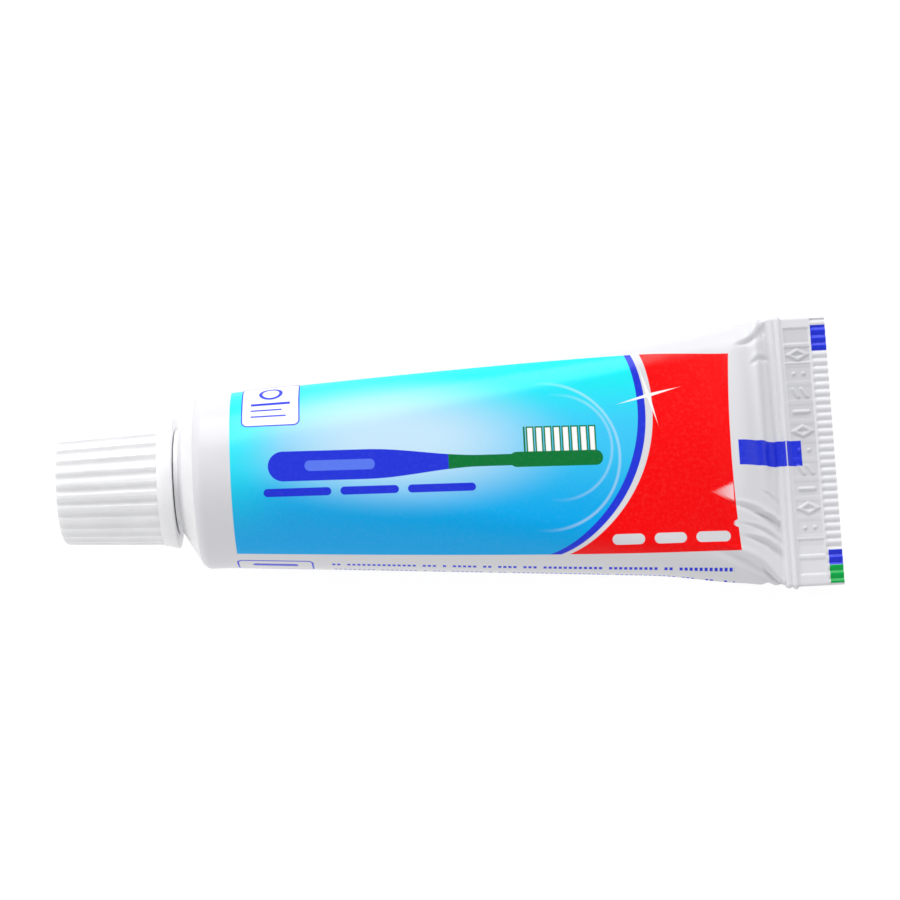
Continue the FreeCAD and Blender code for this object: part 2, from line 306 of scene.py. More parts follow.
@dataclass(frozen=True)
class MouldedPolypropylene:
    """Injection-moulded white polypropylene: a satin sheen, faintly cloudy, with light below the surface."""

    name: str = "moulded polypropylene"
    shade: str = "#F8F8FA"
    cloud_shade: str = "#F3F3F5"
    roughness: float = 0.34
    roughness_spread: float = 0.12
    ior: float = 1.49
    glow: float = 0.25  # share of the light that travels below the surface
    depth: float = 0.5  # millimetres that it travels
    cloud: float = 4.0  # millimetres across the flow's cloudy streaks
    grain: float = 0.35  # millimetres between the mould's faint ripples
    grain_height: float = 0.004

    def build(self) -> bpy.types.Material:
        """Builds the material.

        Returns:
            The new material.
        """
        material, tree, shader = new_material(self.name)
        place = add_node(tree, "ShaderNodeTexCoord").outputs["Object"]
        grain = add_node(tree, "ShaderNodeTexNoise", {"Vector": place, "Scale": 1 / (self.grain * MM)})
        relief = {"Height": grain.outputs["Fac"], "Distance": self.grain_height * MM}
        flow = {"Vector": place, "Scale": 1 / (self.cloud * MM), "Detail": 3.0}
        cloud = Field(tree, add_node(tree, "ShaderNodeTexNoise", flow).outputs["Fac"]).ease(0.35, 0.65)
        inputs = {
            "Base Color": lay(tree, linear(self.shade), cloud, linear(self.cloud_shade)),
            "Roughness": (cloud * self.roughness_spread + self.roughness).socket,
            "Normal": add_node(tree, "ShaderNodeBump", relief).outputs["Normal"],
            "IOR": self.ior,
            "Subsurface Weight": self.glow,
            "Subsurface Radius": (1.0, 1.0, 1.0),
            "Subsurface Scale": self.depth * MM,
        }
        fill(tree, shader, inputs)
        return material


@dataclass(frozen=True)
class FoamedPolyethylene:
    """Foamed polyethylene wad: matte, faintly cellular."""

    name: str = "foamed polyethylene"
    shade: str = "#DCDBD6"
    roughness: float = 0.7
    ior: float = 1.5
    cell: float = 0.25  # millimetres across a cell
    cell_height: float = 0.05

    def build(self) -> bpy.types.Material:
        """Builds the material.

        Returns:
            The new material.
        """
        material, tree, shader = new_material(self.name)
        place = add_node(tree, "ShaderNodeTexCoord").outputs["Object"]
        cells = add_node(tree, "ShaderNodeTexVoronoi", {"Vector": place, "Scale": 1 / (self.cell * MM)})
        relief = {"Height": cells.outputs["Distance"], "Distance": self.cell_height * MM}
        inputs = {
            "Base Color": linear(self.shade),
            "Roughness": self.roughness,
            "Normal": add_node(tree, "ShaderNodeBump", relief).outputs["Normal"],
            "IOR": self.ior,
        }
        fill(tree, shader, inputs)
        return material


@dataclass(frozen=True)
class MintPaste:
    """Mint toothpaste: a wet white cream with a hint of green, in soft swirls where it was filled."""

    name: str = "toothpaste cream"
    shade: str = "#DDF2EC"
    swirl_shade: str = "#BFE8DA"
    swirl: float = 2.5  # millimetres across a swirl
    swirl_height: float = 0.08
    roughness: float = 0.22
    ior: float = 1.4
    glow: float = 0.3  # share of the light that travels below the surface
    depth: float = 0.8  # millimetres that it travels

    def build(self) -> bpy.types.Material:
        """Builds the material.

        Returns:
            The new material.
        """
        material, tree, shader = new_material(self.name)
        place = add_node(tree, "ShaderNodeTexCoord").outputs["Object"]
        stir = {"Vector": place, "Scale": 1 / (self.swirl * MM), "Distortion": 1.2}
        noise = add_node(tree, "ShaderNodeTexNoise", stir).outputs["Fac"]
        relief = {"Height": noise, "Distance": self.swirl_height * MM}
        swirl = Field(tree, noise).ease(0.4, 0.65)
        inputs = {
            "Base Color": lay(tree, linear(self.shade), swirl, linear(self.swirl_shade)),
            "Roughness": self.roughness,
            "Normal": add_node(tree, "ShaderNodeBump", relief).outputs["Normal"],
            "IOR": self.ior,
            "Subsurface Weight": self.glow,
            "Subsurface Radius": (0.9, 1.0, 0.95),
            "Subsurface Scale": self.depth * MM,
        }
        fill(tree, shader, inputs)
        return material


@dataclass(frozen=True)
class Patch:
    """A rectangle on the sleeve, in millimetres."""

    low_x: float
    high_x: float
    low_v: float
    high_v: float


@dataclass(frozen=True)
class Disc:
    """A circle on the sleeve, in millimetres."""

    x: float
    v: float
    radius: float


@dataclass(frozen=True)
class Chart:
    """A place on the sleeve in millimetres: x from the shoulder's corner to the tail, v from the top line.

    Each shape gives the distance from its outline, less than zero inside it.
    """

    x: Field
    v: Field

    @classmethod
    def of_sleeve(cls, tree: bpy.types.NodeTree) -> "Chart":
        """Reads the place from the sleeve's UV map.

        Args:
            tree: The material's tree.

        Returns:
            The place.
        """
        chart = add_node(tree, "ShaderNodeUVMap", uv_map="sleeve")
        parts = add_node(tree, "ShaderNodeSeparateXYZ", {"Vector": chart.outputs["UV"]})
        x = Field(tree, parts.outputs["X"]) * UV_SPAN
        return cls(x, (Field(tree, parts.outputs["Y"]) - 0.5) * UV_SPAN)

    def box(self, patch: Patch, bend: float = 0.0) -> Field:
        """Gives the distance from a rectangle.

        Args:
            patch: The rectangle.
            bend: Its corners' radius, or zero for keen corners.

        Returns:
            The distance.
        """
        half_x, half_v = (patch.high_x - patch.low_x) / 2, (patch.high_v - patch.low_v) / 2
        along = (self.x - (patch.low_x + patch.high_x) / 2).size() - (half_x - bend)
        around = (self.v - (patch.low_v + patch.high_v) / 2).size() - (half_v - bend)
        if bend == 0.0:
            return along.most(around)
        along, around = along.most(0.0), around.most(0.0)
        return (along * along + around * around).join("SQRT") - bend

    def circle(self, disc: Disc) -> Field:
        """Gives the distance from a circle."""
        along, around = self.x - disc.x, self.v - disc.v
        return (along * along + around * around).join("SQRT") - disc.radius


@dataclass(frozen=True)
class PrintedLaminate:
    """Printed and varnished polyethylene laminate: a bright gloss over ink, with a faint orange peel."""

    name: str = "varnished polyethylene laminate"
    white: str = "#E0E0E4"
    top_cyan: str = "#10F6F8"
    middle_blue: str = "#3ECBFA"
    deep_blue: str = "#00ACF2"
    pale_blue: str = "#CDEAFC"
    ink_blue: str = "#2436DC"
    light_blue: str = "#5C7BF2"
    ink_green: str = "#0A7838"
    mark_green: str = "#00AC4C"
    red: str = "#FF0004"
    # pale pink for a painted highlight on the red by the creases
    painted_glare_pink: str = "#FFE6EA"
    # grey for the painted shade on the weld's recesses
    recess_shade_grey: str = "#A6A6AC"
    tag_white: str = "#F4F6FF"
    bright_white: str = "#FFFFFF"
    roughness: float = 0.20
    roughness_spread: float = 0.08
    ior: float = 1.5
    specular: float = 0.24
    edge: float = 0.05  # half the width of an ink's edge
    peel: float = 1.4  # millimetres across the varnish's ripples
    peel_height: float = 0.004
    mottle: float = 0.45  # millimetres across the ink's mottle, drawn coarser than it is so that it shows
    mottle_strength: float = 0.012
    panel: Patch = Patch(3.5, 65.6, -12.65, 12.6)
    draw_start: float = 54.0
    draw_end: float = 64.0
    draw: float = 0.55  # how far the print is drawn back where the laminate is pulled in to the fold
    sky_low: tuple[float, float] = (-9.0, 3.0)  # where deep blue turns to middle blue, going up
    sky_high: tuple[float, float] = (2.0, 12.0)  # where middle blue turns to cyan
    sky_corner: tuple[float, float] = (11.0, 3.5)  # where the cyan comes in towards the shoulder
    sky_corner_rise: tuple[float, float] = (-12.0, 6.0)
    sky_corner_strength: float = 0.7
    glow_middle: tuple[float, float] = (24.0, 2.2)  # the pale oval on the sky
    glow_reach: tuple[float, float] = (23.0, 9.5)
    glow_lean: float = 0.04
    glow_edge: tuple[float, float] = (1.05, 0.15)  # shares of its reach
    glow_strength: float = 0.95
    swirls: tuple[tuple[Disc, float], ...] = ((Disc(41.9, -0.3, 9.2), 0.30), (Disc(43.6, 0.8, 6.6), 0.22))
    swirl_width: float = 0.30
    swirl_fade: tuple[float, float] = (-2.0, 5.0)  # from each swirl's middle towards the tail
    band_inner: Disc = Disc(33.71, 5.56, 19.96)  # the band's edges, from the sky outwards
    band_middle: Disc = Disc(34.88, 5.23, 19.75)
    band_outer: Disc = Disc(35.17, 5.59, 20.38)
    glint: Disc = Disc(55.1, 7.1, 0.38)
    glint_rays: tuple[tuple[float, float], ...] = ((15.0, 3.9), (105.0, 3.7))  # degrees and reach
    glint_width: float = 0.22
    blue_bars: tuple[Patch, ...] = (
        Patch(7.4, 15.6, -4.3, -3.3),
        Patch(16.7, 23.8, -4.3, -3.3),
        Patch(24.9, 33.2, -4.3, -3.3),
    )
    white_bars: tuple[Patch, ...] = (
        Patch(49.6, 53.6, -11.5, -10.2),
        Patch(54.8, 58.8, -11.5, -10.2),
        Patch(60.0, 64.3, -11.5, -10.2),
    )
    type_rows: tuple[tuple[float, float], ...] = ((-15.1, 0.62), (-17.2, 0.58))  # middle line and pitch
    type_span: tuple[float, float] = (15.0, 64.6)
    type_height: float = 0.55
    type_half: float = 0.32  # half a block's width, as a share of the pitch
    type_gaps: float = 0.16  # share of the places that stay empty
    label: Patch = Patch(3.4, 12.6, -17.9, -14.3)
    label_bar: Patch = Patch(5.2, 10.8, -16.0, -15.2)
    label_line: float = 0.12  # half the width of its outline
    brush_middle: float = -0.6
    brush_butt: float = 9.9
    brush_end: float = 38.7
    brush_half: float = 1.85  # half the handle's width
    brush_neck_half: float = 0.70
    brush_joint: float = 30.0  # where the blue turns green
    brush_head: Patch = Patch(37.5, 49.0, -1.55, 0.35)
    brush_grip: Patch = Patch(12.5, 21.0, -1.25, 0.05)
    tufts: Patch = Patch(39.4, 48.2, 0.0, 3.4)
    tuft_pitch: float = 1.1
    tuft_half: float = 0.4
    fine_line: float = 0.09  # half the width of a fine outline
    tag_card: Patch = Patch(5.0, 12.0, 4.7, 12.9)
    tag_ring: Disc = Disc(8.5, 10.6, 1.25)
    tag_ring_line: float = 0.22
    tag_bars: tuple[Patch, ...] = (
        Patch(6.1, 10.9, 8.0, 8.45),
        Patch(6.1, 9.9, 7.0, 7.25),
        Patch(6.1, 10.4, 6.0, 6.25),
    )
    # painted shade: grey laid over the jaws' recesses, partly the pressed film's own grey
    weld: Patch = Patch(72.9, 76.0, -12.1, 15.8)
    weld_shade_strength: float = 0.10  # of the painted shade's grey at its lower end
    weld_shade_rise: float = 0.22  # added towards its upper end
    middle_mark: Patch = Patch(66.0, 74.1, -1.95, 1.25)
    edge_marks: tuple[Patch, ...] = (Patch(76.3, 80.0, 12.7, 16.0), Patch(76.5, 80.0, -14.6, -12.7))
    green_mark: Patch = Patch(76.5, 80.0, -16.9, -14.6)
    # a painted highlight: pink glare on the red where the creases catch the light
    glare_tip: tuple[float, float] = (62.4, -5.35)
    glare_spread: float = 0.42
    glare_end: float = 65.0
    glare_strength: float = 0.85
    ragged: float = 1.4  # millimetres over which the edges of the painted glare and of the worn chip wander
    chip: Disc = Disc(65.3, -9.3, 0.45)
    crest: float = 72.2  # the bead's crest, where a painted highlight runs as a white line over the blue mark
    crest_highlight_half: float = 0.07

    def build(self) -> bpy.types.Material:
        """Builds the material.

        Returns:
            The new material.
        """
        material, tree, shader = new_material(self.name)
        chart = Chart.of_sleeve(tree)
        middle = (chart.v * chart.v * (-1 / self.panel.low_v**2) + 1.0).most(0.0)
        drawn = chart.x.ease(self.draw_start, self.draw_end) * middle * self.draw
        colour = self.panel_ink(tree, Chart(chart.x + drawn, chart.v))
        for mask, shade in (*self.small_inks(chart), *self.highlights_and_chip(chart)):
            colour = lay(tree, colour, mask, linear(shade))
        place = add_node(tree, "ShaderNodeTexCoord").outputs["Object"]
        mottle = {"Vector": place, "Scale": 1 / (self.mottle * MM), "Detail": 3.0}
        thin = Field(tree, add_node(tree, "ShaderNodeTexNoise", mottle).outputs["Fac"]).ease(0.4, 0.75)
        peel = {"Vector": place, "Scale": 1 / (self.peel * MM)}
        ripple = add_node(tree, "ShaderNodeTexNoise", peel).outputs["Fac"]
        relief = {"Height": ripple, "Distance": self.peel_height * MM}
        inputs = {
            "Base Color": lay(tree, colour, thin * self.mottle_strength, linear(self.white)),
            "Roughness": (Field(tree, ripple) * self.roughness_spread + self.roughness).socket,
            "Normal": add_node(tree, "ShaderNodeBump", relief).outputs["Normal"],
            "IOR": self.ior,
            "Specular IOR Level": self.specular,
        }
        fill(tree, shader, inputs)
        return material

    def inside(self, distance: Field) -> Field:
        """Turns a distance from an outline, less than zero inside it, into a mask with a crisp edge."""
        return distance.ease(self.edge, -self.edge)

    def panel_ink(self, tree: bpy.types.NodeTree, chart: Chart) -> bpy.types.NodeSocket:
        """Prints the panel: a sky gradient, a curved band of blue and white, and a red field.

        Args:
            tree: The material's tree.
            chart: The place on the sleeve.

        Returns:
            The colour with bare white round the panel.
        """
        x, v = chart.x, chart.v
        cyan, white = linear(self.top_cyan), linear(self.white)
        sky = lay(tree, linear(self.deep_blue), v.ease(*self.sky_low), linear(self.middle_blue))
        sky = lay(tree, sky, v.ease(*self.sky_high), cyan)
        glow_x, glow_v = self.glow_middle
        along = (x - glow_x) / self.glow_reach[0]
        around = (v - glow_v + (x - glow_x) * self.glow_lean) / self.glow_reach[1]
        glow = (along * along + around * around).join("SQRT").ease(*self.glow_edge)
        sky = lay(tree, sky, glow * self.glow_strength, linear(self.pale_blue))
        corner = x.ease(*self.sky_corner) * v.ease(*self.sky_corner_rise)
        sky = lay(tree, sky, corner * self.sky_corner_strength, cyan)
        for disc, strength in self.swirls:
            line = chart.circle(disc).size().ease(self.swirl_width, 0.0)
            fade = (x - disc.x).ease(*self.swirl_fade)
            sky = lay(tree, sky, line * fade * strength, linear(self.bright_white))
        for disc, shade in (
            (self.band_inner, self.ink_blue),
            (self.band_middle, self.white),
            (self.band_outer, self.red),
        ):
            beyond = (chart.circle(disc) * -1.0).most(x * -1.0 + disc.x)
            sky = lay(tree, sky, self.inside(beyond), linear(shade))
        return lay(tree, white, self.inside(chart.box(self.panel)), sky)

    def small_inks(self, chart: Chart) -> list[tuple[Field, str]]:
        """Prints what stands on the panel and beside it, each as a mask and a shade, in order.

        Args:
            chart: The place on the sleeve.

        Returns:
            The masks and shades, in order.
        """
        inks = [*self.brush(chart), *self.tag(chart), *self.glints(chart), *self.register_marks(chart)]
        inks += [(self.inside(chart.box(bar, 0.5)), self.ink_blue) for bar in self.blue_bars]
        inks += [(self.inside(chart.box(bar, 0.65)), self.white) for bar in self.white_bars]
        inks += [(self.line_of_type(chart, middle, pitch), self.ink_blue) for middle, pitch in self.type_rows]
        inks.append((self.inside(chart.box(self.label, 0.6).size() - self.label_line), self.ink_blue))
        inks.append((self.inside(chart.box(self.label_bar, 0.4)), self.ink_blue))
        return inks

    def brush(self, chart: Chart) -> list[tuple[Field, str]]:
        """Prints a plain toothbrush: a blue handle that turns green, and a head with white tufts.

        Args:
            chart: The place on the sleeve.

        Returns:
            The masks and shades, in order.
        """
        x = chart.x
        half = x.ease(20.0, 34.0) * (self.brush_neck_half - self.brush_half) + self.brush_half
        handle = ((chart.v - self.brush_middle).size() - half).most(x - self.brush_end)
        butt = chart.circle(Disc(self.brush_butt, self.brush_middle, self.brush_half))
        handle = self.inside(handle.most((x - self.brush_butt) * -1.0).least(butt))
        comb = ((x / self.tuft_pitch).join("FRACT") - 0.5).size() * self.tuft_pitch - self.tuft_half
        tufts = chart.box(self.tufts).most(comb)
        return [
            (self.inside(tufts), self.bright_white),
            (self.inside(tufts.size() - self.fine_line), self.ink_green),
            (handle, self.ink_blue),
            (handle * x.ease(self.brush_joint - 0.1, self.brush_joint + 0.1), self.ink_green),
            (self.inside(chart.box(self.brush_head, 0.9)), self.ink_green),
            (self.inside(chart.box(self.brush_grip, 0.6)), self.light_blue),
        ]

    def tag(self, chart: Chart) -> list[tuple[Field, str]]:
        """Prints a white tag with a ring and three bars.

        Args:
            chart: The place on the sleeve.

        Returns:
            The masks and shades, in order.
        """
        card = chart.box(self.tag_card, 0.7)
        ring = chart.circle(self.tag_ring).size() - self.tag_ring_line
        return [
            (self.inside(card), self.tag_white),
            (self.inside(card.size() - self.fine_line), self.ink_blue),
            (self.inside(ring), self.ink_blue),
            *((self.inside(chart.box(bar)), self.ink_blue) for bar in self.tag_bars),
        ]

    def glints(self, chart: Chart) -> list[tuple[Field, str]]:
        """Prints a four-pointed glint on the band.

        Args:
            chart: The place on the sleeve.

        Returns:
            The mask and shade.
        """
        along, around = chart.x - self.glint.x, chart.v - self.glint.v
        glint = chart.circle(self.glint)
        for degrees, reach in self.glint_rays:
            turn = math.radians(degrees)
            ahead = along * math.cos(turn) + around * math.sin(turn)
            aside = around * math.cos(turn) - along * math.sin(turn)
            ray = aside.size() + ahead.size() * (self.glint_width / reach) - self.glint_width
            glint = glint.least(ray)
        return [(self.inside(glint), self.bright_white)]

    def register_marks(self, chart: Chart) -> list[tuple[Field, str]]:
        """Prints the blocks that the filling machine reads, over a grey on the weld that its jaws press:
        painted shade for its recesses, partly the pressed film's own grey, darker towards the upper end.

        Args:
            chart: The place on the sleeve.

        Returns:
            The masks and shades, in order.
        """
        # painted shade in the weld's recesses, darker towards the upper end
        recess_shade = chart.v.ease(-16.0, 6.0) * self.weld_shade_rise + self.weld_shade_strength
        return [
            (self.inside(chart.box(self.weld)) * recess_shade, self.recess_shade_grey),
            *((self.inside(chart.box(mark)), self.ink_blue) for mark in (self.middle_mark, *self.edge_marks)),
            (self.inside(chart.box(self.green_mark)), self.mark_green),
        ]

    def highlights_and_chip(self, chart: Chart) -> list[tuple[Field, str]]:
        """Paints a pink highlight on the red by the creases and a white highlight along the crest of the
        bead, and rubs a chip of ink off the red's edge.

        Args:
            chart: The place on the sleeve.

        Returns:
            The masks and shades, in order.
        """
        x, v = chart.x, chart.v
        rub = {"W": (x * 1.3 + v * 2.1).socket, "Detail": 4.0}
        grain = add_node(x.tree, "ShaderNodeTexNoise", rub, noise_dimensions="1D")
        ragged = (Field(x.tree, grain.outputs[0]) - 0.5) * self.ragged
        tip_x, tip_v = self.glare_tip
        # painted highlight: a pink glare on the red by the creases
        painted_glare = (v - tip_v).size() - (x - tip_x) * self.glare_spread + ragged * 0.7
        inked = x.ease(self.glare_end + self.edge, self.glare_end - self.edge) * x.ease(61.0, 65.8)
        # painted highlight: a white line along the bead's crest over the blue mark
        crest_highlight = ((x - self.crest).size() - self.crest_highlight_half).most(chart.box(self.middle_mark))
        return [
            (painted_glare.ease(0.25, -0.25) * inked * self.glare_strength, self.painted_glare_pink),
            (self.inside(chart.circle(self.chip) + ragged * 0.4), self.white),
            (self.inside(crest_highlight) * 0.8, self.white),
        ]

    def line_of_type(self, chart: Chart, middle: float, pitch: float) -> Field:
        """Prints a row of small uneven blocks where a line of type would stand.

        Args:
            chart: The place on the sleeve.
            middle: The row's middle line.
            pitch: From one block to the next.

        Returns:
            The mask.
        """
        x, v = chart.x, chart.v
        cell = (x / pitch).join("FLOOR")
        key = {"W": (cell + middle * 7.0).socket}
        draw = add_node(x.tree, "ShaderNodeTexWhiteNoise", key, noise_dimensions="1D")
        printed = Field(x.tree, draw.outputs["Value"]).join("GREATER_THAN", self.type_gaps)
        across = ((x / pitch).join("FRACT") - 0.5).size() * pitch - pitch * self.type_half
        block = (v - middle).size() - self.type_height * 0.5
        row = chart.box(Patch(*self.type_span, middle - self.type_height, middle + self.type_height))
        return self.inside(across.most(block).most(row)) * printed


@dataclass(frozen=True)
class Crease:
    """A soft crease in the laminate beside the fold: a valley with a ridge along one side."""

    start: tuple[float, float]
    end: tuple[float, float]
    depth: float
    width: float
    bow: float  # how far it bends from the straight line between its ends

    def height(self, x: float, v: float) -> float:
        """Gives the crease's height at a place on the sleeve.

        Args:
            x: Place along the tube.
            v: Place round it.

        Returns:
            The height off the plain form.
        """
        run = Vector(self.end) - Vector(self.start)
        ahead = Vector((x, v)) - Vector(self.start)
        share = ahead.dot(run) / run.length_squared
        if not -0.3 < share < 1.3:
            return 0.0
        away = (run.x * ahead.y - run.y * ahead.x) / run.length - self.bow * math.sin(math.pi * share)
        away /= self.width * (0.7 + 0.6 * share)
        if abs(away) > 4:
            return 0.0
        fade = smooth(share, -0.3, 0.35) * (1 - smooth(share, 0.8, 1.3))
        return self.depth * fade * (0.5 * math.exp(-((away - 1.6) ** 2)) - math.exp(-away * away))


@dataclass(frozen=True)
class Row:
    """One row of the rolled sheet."""

    place: float  # below zero on the curl over the shoulder, along the meridian, then along the axis
    depth: float = 0.0  # inside the outer face
    drawn_in: bool = False  # whether it lies on the middle plane, to close the sheet


@dataclass
class Sleeve:
    """The laminate sleeve: one sheet rolled to the CAD's sections, with creases and the jaws' relief."""

    tube: TubeFrame
    radius: float = 11.0
    wall: float = 0.3
    ease_length: float = 2.0  # each side of the weld's end, where the straight wall bends into the wedge
    weld_end: float = 2.0
    wedge_end: float = 65.0
    wedge_side: float = 3.1
    pinch_mid_side: float = 2.35
    fold: float = 70.6
    fold_side: float = 0.34
    cut_end: float = 78.2
    corner_radius: float = 1.3
    corner_turn: float = math.radians(60)
    crown: float = 0.55  # how far the filled upper face stands proud of flat
    lens: float = 0.6  # share by which the section turns to a pillow with keen edges before the fold
    lens_start: float = 54.0
    lens_full: float = 68.0
    crease_depth: float = 0.72  # the inner wall's depth by the fold, below the deepest crease
    creased_from: float = 60.0
    fill_start: float = 6.0  # where the crown begins
    fill_full: float = 45.0
    column_step: float = 0.125
    bare_place: float = -3.0  # where the chart has no print, for the inside
    groove_depth: float = 0.20  # of the groove along the fold
    groove_width: float = 0.30
    step_height: float = 0.14  # of the step between the groove and the bead
    bead: float = 1.6  # places of the crimp's relief, from the fold
    bead_height: float = 0.30
    bead_half: float = 0.34
    type_start: float = 2.15
    type_end: float = 5.55
    type_pitch: float = 2.45
    type_width: float = 2.05
    type_depth: float = 0.12
    type_count: int = 13
    type_sink: float = 0.65  # share of the full depth in the band that joins the inner recesses
    mark_height: float = 0.20
    rib_start: float = 5.75
    rib_pitch: float = 1.0
    rib_depth: float = 0.2
    seam_offset: float = 0.8  # from the bottom line to each edge of the lap seam
    seam_width: float = 0.12
    seam_depth: float = 0.06
    folds: tuple[Crease, ...] = field(
        default=(
            Crease((65.2, -6.9), (70.5, -9.9), 0.32, 0.42, 0.5),
            Crease((66.3, -9.4), (70.3, -11.3), 0.18, 0.25, 0.3),
            Crease((68.8, -5.2), (70.4, -6.4), 0.14, 0.22, 0.1),
            Crease((67.6, -8.0), (70.4, -9.2), 0.28, 0.28, 0.25),
            Crease((63.2, -12.8), (70.0, -17.4), 0.42, 0.70, 0.7),
            Crease((68.2, -14.4), (70.5, -17.2), 0.36, 0.35, -0.3),
            Crease((66.6, -11.0), (70.4, -13.1), 0.34, 0.38, 0.35),
            Crease((67.4, -16.2), (70.4, -19.6), 0.28, 0.42, 0.3),
            Crease((67.3, 13.8), (70.4, 15.9), 0.36, 0.42, -0.4),
            Crease((68.6, 11.2), (70.4, 12.0), 0.24, 0.32, 0.2),
            Crease((70.0, -3.0), (70.2, 15.6), 0.36, 0.44, 0.1),
            Crease((69.1, -3.0), (69.3, 15.0), -0.30, 0.60, 0.1),
            Crease((66.4, -5.0), (66.8, 12.0), -0.16, 1.30, -0.3),
        )
    )

    def build(self) -> bpy.types.Object:
        """Rolls the sheet, dresses it and puts it on the tube.

        Returns:
            The new object.
        """
        mesh = self.roll()
        piece = finish_piece(mesh, "laminate_sleeve", self.tube.matrix(), PrintedLaminate().build())
        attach(piece, Body.TUBE.value)
        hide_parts("sleeve")
        return piece

    def rows(self) -> list[Row]:
        """Lists the sheet's rows: up the inside from the fold, round the lip and along the outside.

        Returns:
            The rows in order.
        """
        curl = self.corner_radius * self.corner_turn
        start = self.fold - 0.4
        by_fold = (start, 69.6, 69.0, 68.0, 67.0, 66.0, 64.0, 61.0)
        inside = (*by_fold, 50.0, 35.0, 20.0, 8.0, 4.0, self.weld_end, 0.0, -curl / 2, -curl)
        rows = [Row(start, self.inner_depth(start), True)]
        rows += [Row(place, self.inner_depth(place)) for place in inside]
        spans = (
            (-curl, 0.0, 0.17),
            (0.0, 6.0, 0.5),
            (6.0, 60.0, 1.8),
            (60.0, self.wedge_end, 0.45),
            (self.wedge_end, self.fold, 0.25),
            (self.fold, self.cut_end, 0.12),
        )
        for start, end, step in spans:
            count = max(round((end - start) / step), 1)
            rows += [Row(start + (end - start) * index / count) for index in range(count)]
        rows += [Row(self.cut_end), Row(self.cut_end, drawn_in=True)]
        return rows

    def inner_depth(self, place: float) -> float:
        """Gives the inner wall's depth, which drops below the deepest crease near the fold.

        Args:
            place: Along the axis.

        Returns:
            The depth inside the outer face.
        """
        creased = smooth(place, self.creased_from, self.creased_from + 4.0)
        depth = self.wall + (self.crease_depth - self.wall) * creased
        return min(depth, 0.8 * self.side(place))

    def roll(self) -> bmesh.types.BMesh:
        """Rolls a flat grid into the sleeve.

        Returns:
            The mesh, about the tube's own axis.
        """
        rows = self.rows()
        girth = 2 * math.pi * self.radius
        columns = 2 * round(girth / self.column_step / 2)
        mesh = bmesh.new()
        bmesh.ops.create_grid(mesh, x_segments=len(rows) - 1, y_segments=columns, size=0.5)
        chart = mesh.loops.layers.uv.new("sleeve")
        for face in mesh.faces:
            for loop in face.loops:
                row = rows[round((loop.vert.co.x + 0.5) * (len(rows) - 1))]
                along = self.bare_place if row.depth > 0 else row.place
                loop[chart].uv = (along / UV_SPAN, loop.vert.co.y * girth / UV_SPAN + 0.5)
        for vert in mesh.verts:
            row = rows[round((vert.co.x + 0.5) * (len(rows) - 1))]
            vert.co = self.point(row, vert.co.y * girth)
        bmesh.ops.remove_doubles(mesh, verts=mesh.verts[:], dist=WELD_DISTANCE)
        bmesh.ops.recalc_face_normals(mesh, faces=mesh.faces[:])
        for edge in mesh.edges:
            at_rim = all(vert.co.x > self.cut_end - 0.001 or vert.co.x < 0 for vert in edge.verts)
            if at_rim and len(edge.link_faces) == 2 and edge.calc_face_angle() > 1.0:
                edge.smooth = False
        return mesh

    def side(self, x: float) -> float:
        """Gives the filled tube's half thickness at a place along it.

        Args:
            x: Place along the tube.

        Returns:
            The half thickness.
        """
        slope = (self.radius - self.wedge_side) / (self.wedge_end - self.weld_end)
        before = self.weld_end - self.ease_length
        if x <= before:
            return self.radius
        if x <= self.weld_end + self.ease_length:
            return self.radius - slope * (x - before) ** 2 / (4 * self.ease_length)
        if x <= self.wedge_end:
            return self.radius - slope * (x - self.weld_end)
        if x <= self.fold:
            run = self.fold - self.wedge_end
            first = (self.pinch_mid_side - self.wedge_side) / (run / 2)
            bend = (self.fold_side - self.wedge_side - first * run) / (run * run / 2)
            ahead = x - self.wedge_end
            return self.wedge_side + first * ahead + bend * ahead * (ahead - run / 2)
        return self.wall

    def point(self, row: Row, v: float) -> Vector:
        """Gives a point of the rolled sheet.

        Args:
            row: The point's row.
            v: Round the sleeve from its top line.

        Returns:
            The point, about the tube's own axis.
        """
        if row.place < 0:
            return self.curl_point(row, v)
        spot, normal = self.section(row.place, v, row.depth)
        if row.depth == 0:
            spot += normal * self.relief(row.place, v)
        if row.drawn_in:
            spot.z = 0.0
        return spot

    def section(self, place: float, v: float, depth: float) -> tuple[Vector, Vector]:
        """Gives a point of a cross-section that keeps the sleeve's girth, and the way out of the tube there.

        Args:
            place: Along the axis.
            v: Round the sleeve from its top line.
            depth: How far inside the outer face the point lies.

        Returns:
            The point and the outward normal.
        """
        side = self.side(place)
        half = math.pi / 2 * self.radius
        flat = math.pi / 2 * (self.radius - side)
        ahead, hand = abs(v), math.copysign(1.0, v)
        turn = min(max((ahead - flat) / side, 0.0), math.pi)
        across = min(ahead, flat) + (side - depth) * math.sin(turn) - max(ahead - flat - math.pi * side, 0.0)
        up = (side - depth) * math.cos(turn)
        dome = self.crown * smooth(place, self.fill_start, self.fill_full)
        dome *= 1 - smooth(place, 62.0, self.fold - 0.4)
        if up > 0:
            up += dome * (up / side) * math.cos(min(across / (flat + side), 1.0) * math.pi / 2) ** 2
        pillow = self.lens * smooth(place, self.lens_start, self.lens_full)
        pillow *= 1 - smooth(place, self.fold - 0.5, self.fold)
        share = 1 - abs(1 - ahead / half)
        reach = half - 2 / 3 * side**2 / half - 3 * depth
        across += (reach * share - across) * pillow
        up += (math.copysign((side - depth) * (1 - share**2), half - ahead) - up) * pillow
        return Vector((place, across * hand, up)), Vector((0.0, math.sin(turn) * hand, math.cos(turn)))

    def curl_point(self, row: Row, v: float) -> Vector:
        """Gives a point where the sheet curls on to the shoulder cone.

        Args:
            row: The point's row.
            v: Round the sleeve from its top line.

        Returns:
            The point, about the tube's own axis.
        """
        bend = -row.place / self.corner_radius
        reach = self.corner_radius - row.depth
        radius = self.radius - self.corner_radius + reach * math.cos(bend)
        angle = v / self.radius
        return Vector((-reach * math.sin(bend), radius * math.sin(angle), radius * math.cos(angle)))

